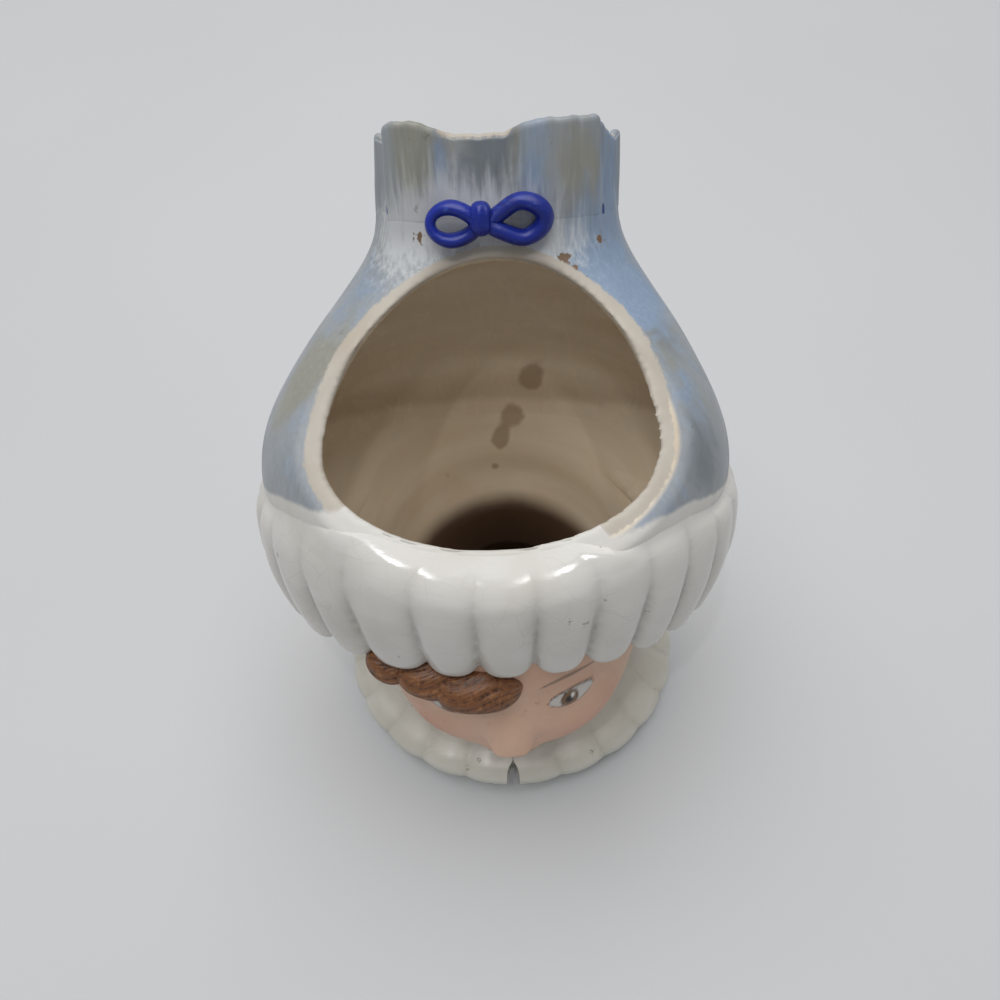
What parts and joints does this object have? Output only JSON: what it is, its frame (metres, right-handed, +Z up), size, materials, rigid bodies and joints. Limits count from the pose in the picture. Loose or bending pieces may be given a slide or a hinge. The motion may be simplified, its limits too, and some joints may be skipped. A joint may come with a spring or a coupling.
{
  "type": "head planter",
  "caption": "Glazed ceramic head planter: a child's head in a gathered sack cap with a ribbed cuff, bow and round collar, open at the front of the cap for a plant.",
  "frame": {"origin": "middle of the flat underside that the planter stands on", "axes": "+Z up, the face looks along -Y, +X is on the right of a viewer who looks at the face"},
  "size_m": [0.1338, 0.1364, 0.1738],
  "materials": {
    "bisque_skin": "matt bisque, hand tinted",
    "white_glaze": "gloss white glaze",
    "blue_grey_paint": "brushed satin paint over glaze",
    "cobalt_paint": "satin cobalt paint",
    "brown_paint": "brushed brown paint"
  },
  "bodies": {
    "root": {"bust_base": "white_glaze", "head_shell": "bisque_skin", "collar_left": "white_glaze", "collar_right": "white_glaze", "hat_crown": "blue_grey_paint", "hat_cuff": "white_glaze", "cap_ruffle": "blue_grey_paint", "bow_left_loop": "cobalt_paint", "bow_right_loop": "cobalt_paint", "bow_knot": "cobalt_paint", "fringe_lock_side": "brown_paint", "fringe_lock_middle": "brown_paint", "fringe_lock_front": "brown_paint"}
  },
  "joints": []
}
